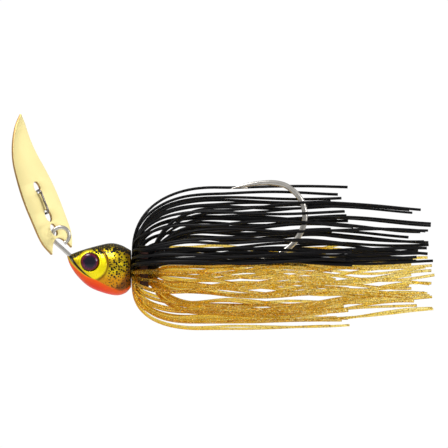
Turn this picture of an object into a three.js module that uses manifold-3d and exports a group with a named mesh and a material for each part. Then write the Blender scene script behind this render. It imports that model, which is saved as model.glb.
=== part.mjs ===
// Bladed vibrating jig: a painted fish head moulded on a wire hook, a flat blade that swings
// on the hook's eye ring, a line snap through the blade, and a silicone skirt under a collar.
// Millimetres, +X toward the tail, +Z up. The origin is the centre of the hook's eye ring.
import * as THREE from 'three';
import { mergeVertices } from 'three/addons/utils/BufferGeometryUtils.js';
import Module from 'manifold-3d';

const wasm = await Module();
wasm.setup();

// Hook
const WIRE_RADIUS = 0.5;
const RING_RADIUS = 2.1;
const STEM_ANGLE = 228;
const RING_CUT_ANGLE = -65;
const RING_TURNS = 14;
const FORGED_DEPTH = 1.4;
const CHANNEL_GAP = 0.12;
const BARB = { x: 46.1, z: 12.05, length: 1.9, radius: 0.42, lean: -14 };

// Head
const NOSE_X = 1.6;
const HEAD_BACK_X = 17.6;
const SKIRT_AXIS_Z = -8.25;
const BARREL_RADIUS = 2.4;
const BARREL_END_X = 24.6;
const EYE = new THREE.Vector3(7.5, 0, -6.5);
const EYE_RADIUS = 2.3;
const SOCKET_FLOOR_Y = 3.1;
const IRIS_THICKNESS = 0.3;
const EYE_FIT = 0.05;
const LENS_CROWN = 0.85;

// Blade, in its own frame: X across, Y along the blade, Z the normal of its rear face
const SHEET = 0.6;
const BLADE_TIP = 30.1;
const BEND_START = 17.5;
const BEND_RADIUS = 24;
const EYE_HOLE = { along: 0.25, radius: 1.62 };
const SNAP_HOLES = [4.1, 11.6];
const SNAP_HOLE_RADIUS = 1.6;
const BLADE_ORIGIN = new THREE.Vector3(-1.76, 0, 1.14);
const BLADE_ALONG = new THREE.Vector3(-0.37, 0, 0.929).normalize();
const BLADE_TWIST = 25;

// Line snap, whose legs keep to the inner edges of the blade's two holes
const SNAP_LEGS = [4.85, 10.85];
const SNAP_WIRE_RADIUS = 0.3;
const SNAP_SEAT = 0.7;
const SNAP_LENGTH = 12.4;
const SNAP_TURN = 45;
const SNAP_NOSE_RADIUS = 1.5;

// Skirt
const STRAND_SIDE = 0.6;
const COLLAR = { front: 19.9, back: 22, inner: 4.35, outer: 5.15 };
const INNER_LAYER = { count: 20, radius: 2.95, turnX: 19.0, turnRadius: 0.85 };
const OUTER_LAYER = { count: 28, radius: 3.85, turnX: 19.8, turnRadius: 0.8 };
const REAR_EXIT_X = 22.3;
const SKIRT_UP = 21.4;
const SKIRT_DOWN = 15.8;
const SKIRT_ACROSS = 14.5;
const BLACK_BETWEEN = [-92, 76];
const PARTING = 3.3;
const HOOK_GAP_X = [42, 60];
const SWAY = 1.2;
const SWAY_LENGTH = 46;
const LIFT = 0.15;
const DRIFT = 0.75;
const SHARE_SCATTER = 0.025;

const { degToRad: rad, lerp, smoothstep } = THREE.MathUtils;

function finish(color, roughness, metalness) {
  return new THREE.MeshStandardMaterial({ color, roughness, metalness });
}

const nickel = finish(0xb9b4a8, 0.3, 1);
const paint = finish(0xc9a227, 0.35, 0.4);
const gold = finish(0xe4d18c, 0.45, 1);
const steel = finish(0xc4c6c8, 0.3, 1);
const rubber = finish(0x2e1512, 0.7, 0);
const blackSilicone = finish(0x111112, 0.5, 0);
const goldSilicone = finish(0xc8961e, 0.45, 0.1);
const foil = finish(0x4a1026, 0.35, 0.6);
const clear = finish(0xd8dbe0, 0.1, 0);

function named(name, geometry, material) {
  const mesh = new THREE.Mesh(geometry, material);
  mesh.name = name;
  return mesh;
}

function toSolid(geometry) {
  const bare = geometry.clone();
  bare.deleteAttribute('normal');
  bare.deleteAttribute('uv');
  const merged = mergeVertices(bare, 1e-4);
  return new wasm.Manifold(new wasm.Mesh({
    numProp: 3,
    vertProperties: new Float32Array(merged.attributes.position.array),
    triVerts: new Uint32Array(merged.index.array),
  }));
}

function fromSolid(solid) {
  const mesh = solid.getMesh();
  const geometry = new THREE.BufferGeometry();
  geometry.setAttribute('position', new THREE.BufferAttribute(mesh.vertProperties, 3));
  geometry.setIndex(new THREE.BufferAttribute(mesh.triVerts, 1));
  geometry.computeVertexNormals();
  return geometry;
}

// A smooth curve whose parameter moves evenly from one given point to the next, so that a
// sweep has many steps where its points are close and few where they are far apart.
class PointCurve extends THREE.CatmullRomCurve3 {
  getPointAt(u, target) {
    return this.getPoint(u, target);
  }

  getTangentAt(u, target) {
    return this.getTangent(u, target);
  }
}

function polygon(radius, sides, turn = 0) {
  const corners = [];
  for (let i = 0; i < sides; i += 1) {
    const angle = turn + (i / sides) * 2 * Math.PI;
    corners.push(new THREE.Vector2(radius * Math.cos(angle), radius * Math.sin(angle)));
  }
  return new THREE.Shape(corners);
}

function sweep(section, curve, steps) {
  return new THREE.ExtrudeGeometry(section, {
    steps, extrudePath: curve, bevelEnabled: false,
  });
}

function flatPoint(x, z) {
  return new THREE.Vector3(x, 0, z);
}

function onRing(angle) {
  return flatPoint(RING_RADIUS * Math.cos(rad(angle)), RING_RADIUS * Math.sin(rad(angle)));
}

// ---------------------------------------------------------------- hook

// The wire from the point, round the bend and along the shank, through the head and up to
// the eye ring. The ring runs over the top and stops just short of the stem.
function hookPoints() {
  const points = [
    [42.4, 11.7], [44.6, 12.25], [47, 12.75], [50, 13.15], [53.2, 13.2], [56.1, 12.55],
    [58.4, 11.0], [60.1, 8.9], [61, 6.2], [61, 3.6], [60.1, 0.9], [58.2, -1.9],
    [55.6, -4.1], [52, -5.75], [47.5, -6.6], [38, -6.85], [25, -7.0], [12, -7.3],
    [6.6, -7.25], [4.6, -6.65], [3.1, -5.59],
  ].map(([x, z]) => flatPoint(x, z));
  const stemDirection = flatPoint(-Math.sin(rad(STEM_ANGLE)), Math.cos(rad(STEM_ANGLE)));
  points.push(onRing(STEM_ANGLE).addScaledVector(stemDirection, 2.4));
  for (let i = 0; i <= RING_TURNS; i += 1) {
    points.push(onRing(lerp(STEM_ANGLE, RING_CUT_ANGLE, i / RING_TURNS)));
  }
  return points;
}

// The places in hookPoints where the plain round shank begins and where the wire is inside
// the head.
const SHANK_POINT = 17;
const HEAD_POINTS = [15, 23];

// The point tapers over the last millimetres, and the bend is forged deeper than it is wide.
function hookDepth(station, stations) {
  const taper = [0.12, 0.42, 0.62, 0.85, 1];
  if (station < taper.length) {
    return taper[station];
  }
  const forged = smoothstep(station, 5, 9)
    * (1 - smoothstep(station, stations - 9, stations - 4));
  return lerp(1, FORGED_DEPTH, forged);
}

function hook() {
  const points = hookPoints();
  const curve = new PointCurve(points);
  const stepsPerSpan = 2;
  const forgedEnd = SHANK_POINT * stepsPerSpan;
  const steps = stepsPerSpan * (points.length - 1);
  const geometry = sweep(polygon(WIRE_RADIUS, 8, Math.PI / 8), curve, steps);
  const stations = curve.getPoints(steps);
  const position = geometry.attributes.position;
  const vertex = new THREE.Vector3();
  for (let i = 0; i < position.count; i += 1) {
    vertex.fromBufferAttribute(position, i);
    let nearest = 0;
    for (let s = 1; s <= forgedEnd; s += 1) {
      if (stations[s].distanceTo(vertex) < stations[nearest].distanceTo(vertex)) {
        nearest = s;
      }
    }
    if (nearest < forgedEnd) {
      const depth = hookDepth(nearest, forgedEnd);
      vertex.sub(stations[nearest]);
      vertex.x *= depth;
      vertex.z *= depth;
      vertex.y *= Math.min(1, depth);
      vertex.add(stations[nearest]);
      position.setXYZ(i, vertex.x, vertex.y, vertex.z);
    }
  }
  const barb = new THREE.ConeGeometry(BARB.radius, BARB.length, 4);
  barb.rotateZ(Math.PI / 2 + rad(BARB.lean));
  barb.rotateX(-Math.PI / 2);
  barb.translate(BARB.x, 0, BARB.z);
  return fromSolid(toSolid(geometry).add(toSolid(barb)));
}

// ---------------------------------------------------------------- head

const topLine = new THREE.SplineCurve([
  [NOSE_X, -5.1], [2.9, -4.55], [5, -3.75], [8.4, -2.75], [12.4, -1.9], [15.2, -2.4],
  [HEAD_BACK_X, -3.7],
].map(([x, z]) => new THREE.Vector2(x, z)));

const bottomLine = new THREE.SplineCurve([
  [NOSE_X, -5.1], [2.4, -7.4], [4.2, -10.1], [7, -12.7], [10.4, -14.2], [14, -14.95],
  [16.3, -14.3], [HEAD_BACK_X, -12.9],
].map(([x, z]) => new THREE.Vector2(x, z)));

const widthLine = new THREE.SplineCurve([
  [NOSE_X, 0], [2.6, 1.35], [4.6, 2.65], [7.5, 3.85], [11, 4.6], [14, 4.8], [16.2, 4.6],
  [HEAD_BACK_X, 4.2],
].map(([x, z]) => new THREE.Vector2(x, z)));

function heightAt(curve, x) {
  let low = 0;
  let high = 1;
  for (let i = 0; i < 30; i += 1) {
    const middle = (low + high) / 2;
    if (curve.getPoint(middle).x < x) {
      low = middle;
    } else {
      high = middle;
    }
  }
  return curve.getPoint(low).y;
}

function headShell() {
  const rows = 16;
  const profile = [new THREE.Vector2(0, NOSE_X)];
  for (let i = 1; i <= rows; i += 1) {
    const x = lerp(NOSE_X, HEAD_BACK_X, (i / rows) ** 1.25);
    profile.push(new THREE.Vector2((heightAt(topLine, x) - heightAt(bottomLine, x)) / 2, x));
  }
  profile.push(new THREE.Vector2(0, HEAD_BACK_X));
  const shell = new THREE.LatheGeometry(profile, 28);
  shell.rotateZ(-Math.PI / 2);
  const position = shell.attributes.position;
  for (let i = 0; i < position.count; i += 1) {
    const x = THREE.MathUtils.clamp(position.getX(i), NOSE_X, HEAD_BACK_X);
    const top = heightAt(topLine, x);
    const bottom = heightAt(bottomLine, x);
    const halfHeight = Math.max((top - bottom) / 2, 1e-6);
    const y = position.getY(i) * (heightAt(widthLine, x) / halfHeight);
    position.setXYZ(i, x, y, position.getZ(i) + (top + bottom) / 2);
  }
  return toSolid(shell);
}

function alongX(geometry, fromX, toX, z) {
  geometry.rotateZ(-Math.PI / 2);
  return geometry.translate((fromX + toX) / 2, 0, z);
}

function head() {
  const barrelLength = BARREL_END_X - HEAD_BACK_X + 1;
  const barrel = new THREE.CylinderGeometry(BARREL_RADIUS, BARREL_RADIUS, barrelLength, 24);
  let body = headShell().add(
    toSolid(alongX(barrel, HEAD_BACK_X - 1, BARREL_END_X, SKIRT_AXIS_Z)),
  );
  for (const side of [-1, 1]) {
    const socket = new THREE.CylinderGeometry(EYE_RADIUS + 0.08, EYE_RADIUS + 0.08, 4, 24);
    socket.translate(EYE.x, side * (SOCKET_FLOOR_Y + 2), EYE.z);
    body = body.subtract(toSolid(socket));
  }
  const channelPoints = hookPoints().slice(...HEAD_POINTS);
  const channel = sweep(
    polygon(WIRE_RADIUS + CHANNEL_GAP, 8, Math.PI / 8),
    new PointCurve(channelPoints),
    2 * (channelPoints.length - 1),
  );
  return fromSolid(body.subtract(toSolid(channel)));
}

// ---------------------------------------------------------------- eyes

function irisDisc() {
  const rim = EYE_RADIUS;
  return new THREE.LatheGeometry([
    new THREE.Vector2(0, 0), new THREE.Vector2(rim, 0),
    new THREE.Vector2(rim, IRIS_THICKNESS), new THREE.Vector2(0, IRIS_THICKNESS),
  ], 24);
}

function lensDome() {
  const points = [new THREE.Vector2(0, 0), new THREE.Vector2(EYE_RADIUS, 0)];
  const edge = 0.15;
  const steps = 5;
  for (let i = 0; i <= steps; i += 1) {
    const angle = (i / steps) * (Math.PI / 2);
    const height = edge + LENS_CROWN * Math.sin(angle);
    points.push(new THREE.Vector2(EYE_RADIUS * Math.cos(angle), height));
  }
  points[points.length - 1].x = 0;
  return new THREE.LatheGeometry(points, 24);
}

function eyePiece(name, geometry, material, side, floor) {
  const mesh = named(name, geometry, material);
  mesh.position.set(EYE.x, side * floor, EYE.z);
  mesh.rotation.x = side > 0 ? 0 : Math.PI;
  return mesh;
}

// ---------------------------------------------------------------- blade

function bladeOutline() {
  const side = [
    [-5.4, 5.5], [-2, 7.9], [4, 8.6], [10, 8.6], [16, 7.45], [22, 5.35], [27.6, 2.4],
  ];
  const right = side.map(([along, across]) => new THREE.Vector2(across, along));
  const left = side.map(([along, across]) => new THREE.Vector2(-across, along)).reverse();
  const shape = new THREE.Shape();
  shape.moveTo(0, BLADE_TIP);
  shape.splineThru([...left]);
  shape.quadraticCurveTo(-2.6, -1.9, 0, -2.0);
  shape.quadraticCurveTo(2.6, -1.9, right[0].x, right[0].y);
  shape.splineThru([...right.slice(1), new THREE.Vector2(0, BLADE_TIP)]);
  return shape;
}

function drill(along, radius) {
  const bit = new THREE.CylinderGeometry(radius, radius, 6, 20);
  bit.rotateX(Math.PI / 2);
  return toSolid(bit.translate(0, along, 0));
}

function blade() {
  const strip = new THREE.Shape();
  const half = SHEET / 2;
  const start = -Math.PI / 2;
  const end = start + Math.asin((BLADE_TIP + 1 - BEND_START) / BEND_RADIUS);
  strip.moveTo(-8, -half);
  strip.lineTo(BEND_START, -half);
  strip.absarc(BEND_START, BEND_RADIUS, BEND_RADIUS + half, start, end, false);
  strip.absarc(BEND_START, BEND_RADIUS, BEND_RADIUS - half, end, start, true);
  strip.lineTo(-8, half);
  const sheet = new THREE.ExtrudeGeometry(strip, {
    depth: 20, bevelEnabled: false, curveSegments: 10,
  });
  sheet.translate(0, 0, -10);
  sheet.applyMatrix4(new THREE.Matrix4().makeBasis(
    new THREE.Vector3(0, 1, 0), new THREE.Vector3(0, 0, 1), new THREE.Vector3(1, 0, 0),
  ));
  const blank = new THREE.ExtrudeGeometry(bladeOutline(), {
    depth: 16, bevelEnabled: false, curveSegments: 4,
  });
  blank.translate(0, 0, -3);
  let body = toSolid(sheet).intersect(toSolid(blank));
  body = body.subtract(drill(EYE_HOLE.along, EYE_HOLE.radius));
  for (const along of SNAP_HOLES) {
    body = body.subtract(drill(along, SNAP_HOLE_RADIUS));
  }
  return fromSolid(body);
}

// ---------------------------------------------------------------- line snap

// The snap's own frame: X runs along the straight back that bears on the blade, Y points
// from the blade to the nose that the line is tied to.
function snapPoints() {
  const [low, high] = SNAP_LEGS;
  const middle = (low + high) / 2;
  const noseY = SNAP_LENGTH - SNAP_NOSE_RADIUS;
  const points = [
    [low + 0.1, 4.2, 0], [low, 1.6, 0], [low + 0.05, 0.55, 0], [low + 0.55, 0, 0],
    [middle, 0, 0], [high - 0.55, 0, 0], [high - 0.05, 0.55, 0], [high, 1.6, 0],
    [high - 0.2, 4.2, 0], [high - 1.5, 7.6, 0],
  ];
  for (let angle = -10; angle <= 190; angle += 33.3) {
    points.push([
      middle + SNAP_NOSE_RADIUS * Math.cos(rad(angle)),
      noseY + SNAP_NOSE_RADIUS * Math.sin(rad(angle)),
      0,
    ]);
  }
  points.push([low + 1.7, 8.4, 0.1], [low + 1.1, 6.4, 0.35], [low + 0.75, 4.6, 0.72]);
  points.push([low + 0.1, 3.5, 0.85], [low - 0.75, 3.2, 0.45]);
  return points.map(([x, y, z]) => new THREE.Vector3(x, y, z));
}

function lineSnap() {
  const points = snapPoints();
  return sweep(polygon(SNAP_WIRE_RADIUS, 8), new PointCurve(points), 2 * (points.length - 1));
}

// ---------------------------------------------------------------- skirt

// Even, repeatable scatter between -1 and 1 for strand number n.
function scatter(n, channel) {
  const wave = Math.sin(n * 12.9898 + channel * 78.233) * 43758.5453;
  return 2 * (wave - Math.floor(wave)) - 1;
}

// Where a strand trails, for the angle at which it leaves the collar. Both angles are
// measured from straight up, positive to the +Y side. The near upper strands lie together
// in one low bunch, or lean over the hook to the far side.
const SPREAD = [
  [-200, -200], [-180, -180], [-92, -87], [-32, -62], [-27, -47], [-19, -7], [-9, 7],
  [68, 55], [80, 66], [180, 180], [200, 200],
];

// The trailing angle, and how far it moves for a degree at the collar.
function spreadAt(angle) {
  const row = SPREAD.findIndex(([collar]) => angle <= collar);
  const [fromCollar, fromTrail] = SPREAD[row - 1];
  const [toCollar, toTrail] = SPREAD[row];
  const slope = (toTrail - fromTrail) / (toCollar - fromCollar);
  return { trail: fromTrail + slope * (angle - fromCollar), slope };
}

// The skirt's outer radius about the collar's axis in one direction.
function skirtRadius(angle) {
  const up = Math.cos(rad(angle));
  const across = Math.sin(rad(angle));
  return 1 / Math.hypot(up / (up > 0 ? SKIRT_UP : SKIRT_DOWN), across / SKIRT_ACROSS);
}

// Each half of the skirt by layer. share is the part of the skirt's radius where the flare
// ends, full the least and most of it further back, and ends the last part above and below.
const HALVES = {
  front: {
    channel: 0,
    share: { inner: 0.97, outer: 0.85 },
    ends: [1, 0.95],
    fullX: 50,
    endX: 69.5,
    endScatter: 3.2,
    phase: { inner: 0.4, outer: 2.6 },
  },
  rear: {
    channel: 1,
    share: { inner: 0.52, outer: 0.72 },
    full: { inner: [0.52, 0.62], outer: [0.74, 0.88] },
    ends: [0.88, 0.78],
    fullX: 66,
    endX: 90,
    endScatter: 3.4,
    phase: { inner: 4.4, outer: 2.6 },
  },
};
const FLARE_LEAN = { inner: -0.4, outer: 0.2 };

// Levels where the skirt opens lengthwise: strands above move up and those below move down.
const SLITS = [
  { level: -2.2, push: 0.7, width: 2.4 },
  { level: -15.8, push: 0.9, width: 2.1 },
];

function flareCurve(isFront, layerName, layer, crest) {
  if (isFront) {
    const start = new THREE.Vector2(
      layer.turnX - layer.turnRadius, layer.radius + layer.turnRadius,
    );
    return new THREE.CubicBezierCurve(
      start,
      new THREE.Vector2(start.x + FLARE_LEAN[layerName], lerp(start.y, crest, 0.56)),
      new THREE.Vector2(start.x - 1.1 + 0.36 * crest, crest),
      new THREE.Vector2(20 + 0.97 * crest, crest),
    );
  }
  return new THREE.CubicBezierCurve(
    new THREE.Vector2(REAR_EXIT_X, layer.radius),
    new THREE.Vector2(REAR_EXIT_X + 2.5, layer.radius),
    new THREE.Vector2(24 + 0.3 * crest, crest),
    new THREE.Vector2(30 + 0.7 * crest, crest),
  );
}

// One half of a strand, from the collar to its free end. The rear halves trail between the
// front halves of the same layer.
function halfStrand(half, layerName, layer, angle, number) {
  const { channel, share, full, ends, fullX, endX, endScatter, phase } = HALVES[half];
  const isFront = half === 'front';
  const leaving = angle + (isFront ? 0 : 180 / layer.count);
  const { trail: evenTrail, slope } = spreadAt(leaving);
  const ease = Math.min(slope, 1);
  const trail = evenTrail + DRIFT * ease * ease * scatter(number, 1 + channel);
  const outer = skirtRadius(trail);
  const crest = outer * (share[layerName] + SHARE_SCATTER * scatter(number, 3 + channel));
  const fullRadius = isFront
    ? crest
    : outer * lerp(...full[layerName], (scatter(number, 7) + 1) / 2);
  const endRadius = fullRadius * (Math.cos(rad(trail)) > 0 ? ends[0] : ends[1]);
  const lastX = endX + endScatter * scatter(number, 5 + channel);

  const flare = flareCurve(isFront, layerName, layer, crest);
  const startRadius = flare.v0.y;
  const stations = [0.12, 0.26, 0.42, 0.6, 0.8, 1].map((t) => flare.getPoint(t));
  const flareEnd = stations[stations.length - 1].x;
  const trailing = 7;
  for (let i = 1; i <= trailing; i += 1) {
    const x = lerp(flareEnd, lastX, i / trailing);
    const r = crest + (fullRadius - crest) * smoothstep(x, flareEnd, fullX)
      + (endRadius - fullRadius) * smoothstep(x, fullX - 6, lastX + 4);
    stations.push(new THREE.Vector2(x, r));
  }
  const level = SKIRT_AXIS_Z + crest * Math.cos(rad(trail));
  return stations.map(({ x, y: radius }, i) => {
    const flaring = i < stations.length - trailing;
    const turn = flaring
      ? smoothstep(radius, startRadius, lerp(startRadius, crest, 0.8))
      : 1;
    const loose = smoothstep(x, 28, 44);
    const wave = 2 * Math.PI * ((x - 28) / SWAY_LENGTH) + 3 * rad(trail) + phase[layerName];
    const sway = SWAY * ease * loose * Math.sin(wave);
    const theta = rad(lerp(angle, trail, turn)) + sway / Math.max(radius, 5);
    const r = radius + LIFT * loose * Math.cos(1.3 * wave);
    const opened = smoothstep(x, 22, HOOK_GAP_X[0])
      * (1 - 0.5 * smoothstep(x, HOOK_GAP_X[1], HOOK_GAP_X[1] + 16));
    const parting = PARTING * Math.sign(trail) * opened * Math.max(0, Math.cos(theta));
    let z = r * Math.cos(theta);
    for (const slit of SLITS) {
      const away = (level - slit.level) / slit.width;
      z += slit.push * Math.sign(away) * Math.exp(-away * away)
        * smoothstep(x, 24, 34) * (1 - smoothstep(x, 60, 74));
    }
    return new THREE.Vector3(x, r * Math.sin(theta) + parting, z);
  });
}

function strandPoints(layerName, layer, angle, number) {
  const rear = halfStrand('rear', layerName, layer, angle, number).reverse();
  const front = halfStrand('front', layerName, layer, angle, number);
  const theta = rad(angle);
  const onLayer = (x, r) => new THREE.Vector3(x, r * Math.sin(theta), r * Math.cos(theta));
  const turn = [0, 30, 60, 90].map((step) => onLayer(
    layer.turnX - layer.turnRadius * Math.sin(rad(step)),
    layer.radius + layer.turnRadius * (1 - Math.cos(rad(step))),
  ));
  return [...rear, onLayer(REAR_EXIT_X, layer.radius), ...turn, ...front].map(
    (point) => point.add(flatPoint(0, SKIRT_AXIS_Z)),
  );
}

function skirtStrands() {
  const strands = [];
  const counts = { black: 0, gold: 0 };
  for (const [layerName, layer] of [['inner', INNER_LAYER], ['outer', OUTER_LAYER]]) {
    for (let i = 0; i < layer.count; i += 1) {
      const angle = -180 + ((i + 0.5) / layer.count) * 360;
      const isBlack = angle > BLACK_BETWEEN[0] && angle < BLACK_BETWEEN[1];
      const colour = isBlack ? 'black' : 'gold';
      counts[colour] += 1;
      const points = strandPoints(layerName, layer, angle, strands.length + 1);
      const geometry = sweep(
        polygon(STRAND_SIDE / Math.SQRT2, 4, Math.PI / 4),
        new PointCurve(points),
        points.length - 1,
      );
      const name = `skirt_${colour}_${String(counts[colour]).padStart(2, '0')}`;
      strands.push(named(name, geometry, colour === 'black' ? blackSilicone : goldSilicone));
    }
  }
  return strands;
}

function collar() {
  const { front, back, inner, outer } = COLLAR;
  const bevel = 0.25;
  const profile = [
    [inner, front], [outer - bevel, front], [outer, front + bevel], [outer, back - bevel],
    [outer - bevel, back], [inner, back], [inner, front],
  ].map(([r, x]) => new THREE.Vector2(r, x));
  const ring = new THREE.LatheGeometry(profile, 28);
  ring.rotateZ(-Math.PI / 2);
  return ring.translate(0, 0, SKIRT_AXIS_Z);
}

// ---------------------------------------------------------------- assembly

const jig = new THREE.Group();
jig.add(named('hook', hook(), nickel));
jig.add(named('head', head(), paint));
for (const [label, side] of [['near', -1], ['far', 1]]) {
  const floor = SOCKET_FLOOR_Y + EYE_FIT;
  const lensFloor = floor + IRIS_THICKNESS + EYE_FIT;
  jig.add(eyePiece(`eye_iris_${label}`, irisDisc(), foil, side, floor));
  jig.add(eyePiece(`eye_lens_${label}`, lensDome(), clear, side, lensFloor));
}
jig.add(named('skirt_collar', collar(), rubber));
jig.add(...skirtStrands());

// The blade's own frame, turned about its length so that its rear face looks at the head.
const across = new THREE.Vector3(0, 1, 0).applyAxisAngle(BLADE_ALONG, rad(-BLADE_TWIST));
const normal = new THREE.Vector3().crossVectors(across, BLADE_ALONG);
const bladeFrame = new THREE.Group();
bladeFrame.position.copy(BLADE_ORIGIN);
bladeFrame.quaternion.setFromRotationMatrix(
  new THREE.Matrix4().makeBasis(across, BLADE_ALONG, normal),
);
bladeFrame.add(named('blade', blade(), gold));

// The snap's back lies on the blade's rear face, and its body hangs from the front face.
const snapOut = new THREE.Vector3(Math.sin(rad(SNAP_TURN)), 0, -Math.cos(rad(SNAP_TURN)));
const snapAlong = new THREE.Vector3(0, 1, 0);
const snapFrame = new THREE.Group();
snapFrame.position.z = SNAP_SEAT;
snapFrame.quaternion.setFromRotationMatrix(new THREE.Matrix4().makeBasis(
  snapAlong, snapOut, new THREE.Vector3().crossVectors(snapAlong, snapOut),
));
snapFrame.add(named('line_snap', lineSnap(), steel));
bladeFrame.add(snapFrame);
jig.add(bladeFrame);

export default jig;
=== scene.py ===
"""Looks for the bladed vibrating jig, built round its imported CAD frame. +X to the tail."""

import math

import bmesh
import bpy
import numpy as np
from mathutils import Matrix, Vector


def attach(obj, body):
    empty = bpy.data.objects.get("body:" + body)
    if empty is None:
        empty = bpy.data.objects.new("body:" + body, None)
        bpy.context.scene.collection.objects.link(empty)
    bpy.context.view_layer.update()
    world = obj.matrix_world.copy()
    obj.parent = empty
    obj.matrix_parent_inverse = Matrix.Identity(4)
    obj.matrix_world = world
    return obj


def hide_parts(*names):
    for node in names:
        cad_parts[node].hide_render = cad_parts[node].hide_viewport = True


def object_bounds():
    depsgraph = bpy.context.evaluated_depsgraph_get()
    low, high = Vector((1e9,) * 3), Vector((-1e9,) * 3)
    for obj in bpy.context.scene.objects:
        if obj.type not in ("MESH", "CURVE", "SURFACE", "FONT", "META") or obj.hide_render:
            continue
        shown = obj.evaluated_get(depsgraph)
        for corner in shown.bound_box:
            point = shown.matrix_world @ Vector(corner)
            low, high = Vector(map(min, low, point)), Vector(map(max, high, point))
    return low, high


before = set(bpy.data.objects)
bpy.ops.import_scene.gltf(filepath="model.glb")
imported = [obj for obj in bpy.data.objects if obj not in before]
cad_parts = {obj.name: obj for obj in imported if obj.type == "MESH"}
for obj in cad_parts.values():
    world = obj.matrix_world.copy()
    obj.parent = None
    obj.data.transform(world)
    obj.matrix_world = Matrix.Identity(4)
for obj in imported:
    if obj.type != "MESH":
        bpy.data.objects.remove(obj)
cad_low, cad_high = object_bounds()

MM = 0.001

# Driving sizes, in millimetres, the same as the CAD model's.
WIRE_RADIUS = 0.5
RING_RADIUS = 2.1
STEM_ANGLE = 228
RING_CUT_ANGLE = -65
FORGED_DEPTH = 1.4
NOSE_X = 1.6
HEAD_BACK_X = 17.6
SKIRT_AXIS_Z = -8.25
BARREL_RADIUS = 2.4
BARREL_END_X = 24.6
EYE_X, EYE_Z = 7.5, -6.5
EYE_RADIUS = 2.3
SOCKET_FLOOR_Y = 3.1
SHEET = 0.6
BLADE_TIP = 30.1
BEND_START = 17.5
BEND_RADIUS = 24.0
EYE_HOLE = (0.25, 1.62)
SNAP_HOLES = (4.1, 11.6)
SNAP_HOLE_RADIUS = 1.6
SNAP_LEGS = (4.85, 10.85)
BLADE_ORIGIN = Vector((-1.76, 0, 1.14))
BLADE_ALONG = Vector((-0.37, 0, 0.929)).normalized()
BLADE_TWIST = 25
SNAP_WIRE_RADIUS = 0.3
SNAP_SEAT = 0.7
SNAP_LENGTH = 12.4
SNAP_TURN = 45
SNAP_NOSE_RADIUS = 1.5
COLLAR = {"front": 19.9, "back": 22.0, "inner": 4.35, "outer": 5.15}
INNER_LAYER = {"count": 20, "radius": 2.95, "turn_x": 19.0, "turn_radius": 0.85}
OUTER_LAYER = {"count": 28, "radius": 3.85, "turn_x": 19.8, "turn_radius": 0.8}
REAR_EXIT_X = 22.3
SKIRT_UP = 21.4
SKIRT_DOWN = 15.8
SKIRT_ACROSS = 14.5
BLACK_BETWEEN = (-92, 76)
PARTING = 3.3
HOOK_GAP_X = (42, 60)
SWAY = 1.2
SWAY_LENGTH = 46
LIFT = 0.15
DRIFT = 0.75
SHARE_SCATTER = 0.025

# How much deeper in tone the darkest gold strand is.
MAX_DEPTH = 0.55

# The studio: the room's brightness as light on the jig and as seen, each lamp's place from the
# jig's middle, width and power, and the floor's half-width, level and fading edge.
ROOM_LIGHT = 0.36
ROOM_SEEN = 1.02
LAMPS = [
    ("key", (-0.20, -0.30, 0.42), 0.22, 2.4),
    ("fill", (0.34, -0.40, 0.10), 0.14, 0.7),
    ("blade_card", (0.42, 0.38, 0.17), 0.40, 0.62),
]
FLOOR_HALF = 680
FLOOR_LEVEL = -110
FLOOR_FADE = (250, 660)

# The camera: a level view square to the jig's side, in millimetres.
CAMERA_DISTANCE = 700
CAMERA_AIM = (40.85, 2.9)
SEEN_WIDTH = 112

# ------------------------------------------------------------------ helpers


def lerp(a, b, t):
    return a + (b - a) * t


def smoothstep(value, low, high):
    t = np.clip((value - low) / (high - low), 0, 1)
    return t * t * (3 - 2 * t)


def polar(radius, degrees):
    return radius * math.cos(math.radians(degrees)), radius * math.sin(math.radians(degrees))


def smooth_through(points, per_span):
    """Centripetal Catmull-Rom through points, per_span samples to each span."""
    p = np.array(points, float)
    p = np.vstack([2 * p[0] - p[1], p, 2 * p[-1] - p[-2]])
    out = []
    for i in range(1, len(p) - 2):
        knots = [0.0]
        for a, b in ((i - 1, i), (i, i + 1), (i + 1, i + 2)):
            knots.append(knots[-1] + max(np.linalg.norm(p[b] - p[a]) ** 0.5, 1e-6))
        t = np.linspace(knots[1], knots[2], per_span, endpoint=False)[:, None]
        t0, t1, t2, t3 = knots
        a1 = (t1 - t) / (t1 - t0) * p[i - 1] + (t - t0) / (t1 - t0) * p[i]
        a2 = (t2 - t) / (t2 - t1) * p[i] + (t - t1) / (t2 - t1) * p[i + 1]
        a3 = (t3 - t) / (t3 - t2) * p[i + 1] + (t - t2) / (t3 - t2) * p[i + 2]
        b1 = (t2 - t) / (t2 - t0) * a1 + (t - t0) / (t2 - t0) * a2
        b2 = (t3 - t) / (t3 - t1) * a2 + (t - t1) / (t3 - t1) * a3
        out.append((t2 - t) / (t2 - t1) * b1 + (t - t1) / (t2 - t1) * b2)
    return np.vstack([*out, p[-2][None]])


def uniform_spline(points, per_span=24):
    """Uniform Catmull-Rom through flat points, for the head's outlines."""
    p = np.array(points, float)
    p = np.vstack([p[0], p, p[-1]])
    out = []
    t = np.linspace(0, 1, per_span, endpoint=False)[:, None]
    for i in range(1, len(p) - 2):
        v0 = (p[i + 1] - p[i - 1]) / 2
        v1 = (p[i + 2] - p[i]) / 2
        a = 2 * p[i] - 2 * p[i + 1] + v0 + v1
        b = -3 * p[i] + 3 * p[i + 1] - 2 * v0 - v1
        out.append(a * t**3 + b * t**2 + v0 * t + p[i])
    return np.vstack([*out, p[-1][None]])


def new_object(name, mesh):
    obj = bpy.data.objects.new(name, mesh)
    bpy.context.scene.collection.objects.link(obj)
    return obj


def mesh_object(name, vertices, faces):
    """A smooth-shaded mesh from vertices in millimetres."""
    mesh = bpy.data.meshes.new(name)
    mesh.from_pydata((np.asarray(vertices, float) * MM).tolist(), [], faces)
    mesh.validate()
    mesh.update()
    mesh.shade_smooth()
    return new_object(name, mesh)


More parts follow.
